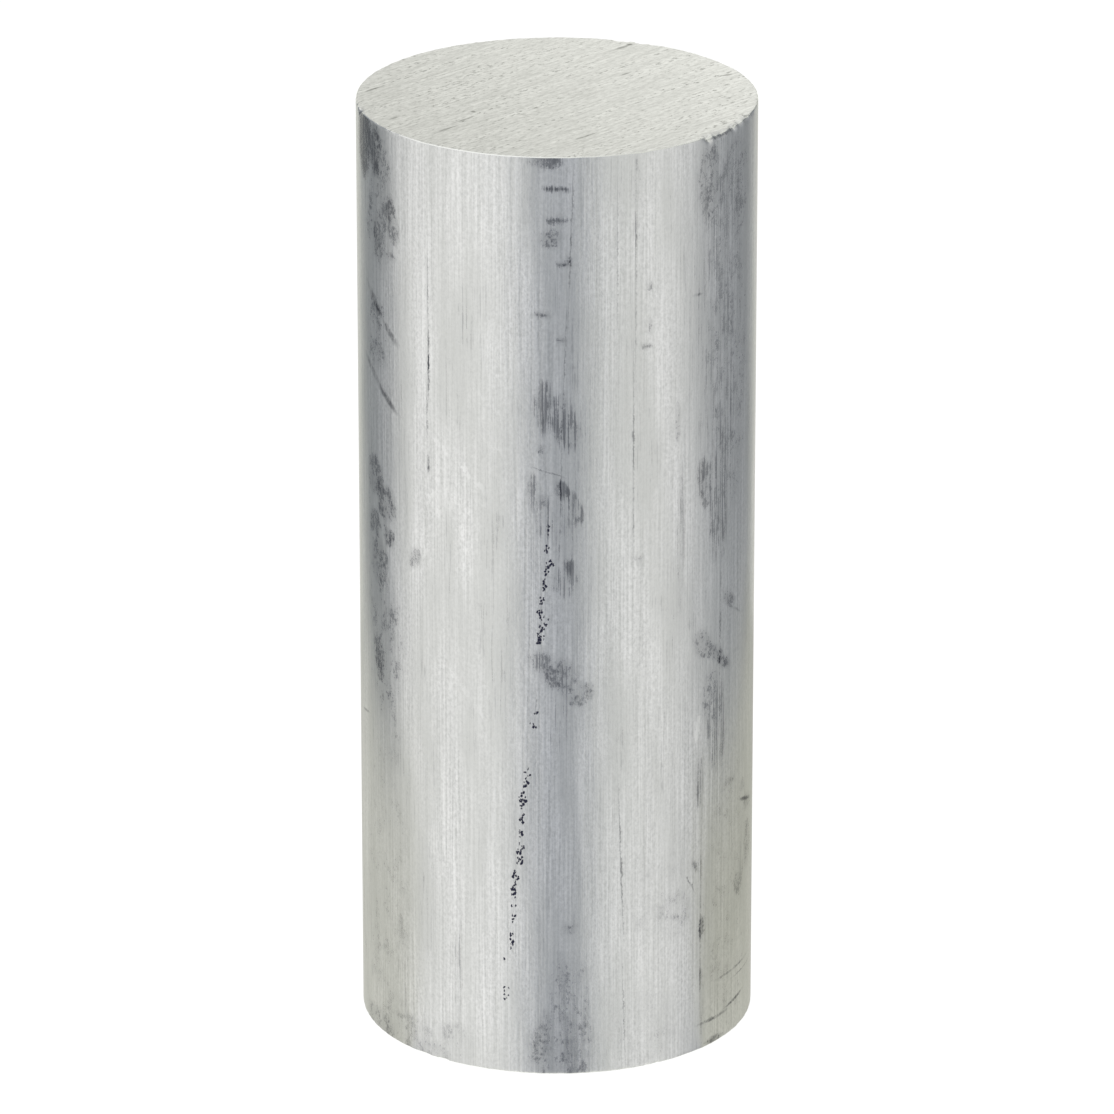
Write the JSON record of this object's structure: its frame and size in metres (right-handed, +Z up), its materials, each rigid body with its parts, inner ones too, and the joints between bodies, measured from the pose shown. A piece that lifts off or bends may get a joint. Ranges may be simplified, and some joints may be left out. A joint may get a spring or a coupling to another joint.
{
  "type": "round metal bar",
  "caption": "Short solid round bar of extruded aluminium, sawn square at both ends with lightly dressed rims.",
  "frame": {"origin": "centre of the sawn end that the bar stands on", "axes": "+Z up along the bar's axis; X and Y are alike, because the section is a circle"},
  "size_m": [0.06, 0.06, 0.146],
  "materials": {
    "mill_aluminium": "mill finish, satin, with die lines, handling smudges and sawn ends"
  },
  "bodies": {
    "root": {"round_bar": "mill_aluminium"}
  },
  "joints": []
}
